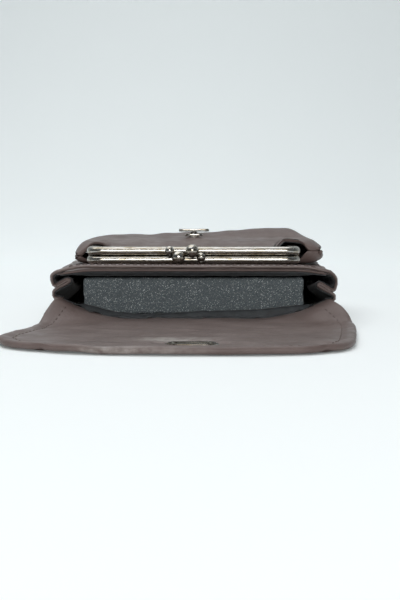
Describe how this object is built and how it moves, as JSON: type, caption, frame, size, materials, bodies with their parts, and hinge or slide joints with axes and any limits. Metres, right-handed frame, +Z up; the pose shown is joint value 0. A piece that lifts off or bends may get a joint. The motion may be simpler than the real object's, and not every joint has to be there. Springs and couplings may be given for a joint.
{
  "type": "kiss lock frame purse",
  "caption": "Leather purse with a gusseted main pocket, a folding flap with a turn lock, and a front coin pouch closed by a metal kiss lock frame.",
  "frame": {"origin": "middle of the back panel's flat outer face, which lies on the table", "axes": "+Z up through the purse, +Y from the mouth towards the closed end, +X to the viewer's right"},
  "size_m": [0.1345, 0.1821, 0.0408],
  "materials": {
    "leather_brown": "soft grained brown",
    "lining_dark": "woven, matt",
    "nickel": "polished nickel",
    "foam_charcoal": "open cell foam",
    "board_tan": "bonded board",
    "paper_cord": "twisted paper"
  },
  "bodies": {
    "back": {"back_panel": "leather_brown", "back_stiffener": "board_tan", "back_lining": "lining_dark", "base_fold": "leather_brown", "base_lining": "lining_dark", "left_base_cap": "leather_brown", "right_base_cap": "leather_brown", "left_gusset_lower": "leather_brown", "right_gusset_lower": "leather_brown"},
    "front_wall": {"front_panel": "leather_brown", "front_lining": "lining_dark", "left_gusset_upper": "leather_brown", "right_gusset_upper": "leather_brown", "pouch_front": "leather_brown", "pouch_crown": "leather_brown", "pouch_front_lining": "lining_dark", "pouch_back": "leather_brown", "pouch_back_lining": "lining_dark", "rear_frame": "nickel", "rear_large_ball": "nickel", "rear_small_ball": "nickel", "rear_channel_cord": "paper_cord", "left_hinge_pin": "nickel", "right_hinge_pin": "nickel", "lock_plate": "nickel", "lock_collar": "nickel"},
    "clasp_half": {"front_frame": "nickel", "front_large_ball": "nickel", "front_small_ball": "nickel", "front_channel_cord": "paper_cord", "pouch_mouth_panel": "leather_brown"},
    "turn_toggle": {"toggle": "nickel", "toggle_washer": "nickel"},
    "foam": {"foam_insert": "foam_charcoal"},
    "flap_bridge": {"bridge_outer": "leather_brown", "bridge_inner": "leather_brown"},
    "flap_front": {"flap_outer": "leather_brown", "flap_inner": "leather_brown", "slot_plate": "nickel", "left_slot_rivet": "nickel", "right_slot_rivet": "nickel"}
  },
  "joints": [
    {"name": "flap_hinge", "type": "hinge", "parent": "back", "child": "flap_bridge", "pos_m": [0, -0.0453, 0.0025], "axis": [1, 0, 0], "range_deg": [-90, 0]},
    {"name": "flap_fold", "type": "hinge", "parent": "flap_bridge", "child": "flap_front", "pos_m": [0, -0.0798, 0.0025], "axis": [1, 0, 0], "range_deg": [-90, 0]},
    {"name": "gusset_spread", "type": "hinge", "parent": "back", "child": "front_wall", "pos_m": [0, 0.0329, 0.0233], "axis": [-1, 0, 0], "range_deg": [0, 8]},
    {"name": "clasp_hinge", "type": "hinge", "parent": "front_wall", "child": "clasp_half", "pos_m": [0, -0.016, 0.02935], "axis": [-1, 0, 0], "range_deg": [0, 70]},
    {"name": "toggle_turn", "type": "hinge", "parent": "front_wall", "child": "turn_toggle", "pos_m": [0, -0.004, 0.0375], "axis": [0, 0, 1], "range_deg": [0, 90]},
    {"name": "foam_slide", "type": "slide", "parent": "back", "child": "foam", "axis": [0, -1, 0], "range_m": [0, 0.07]}
  ]
}
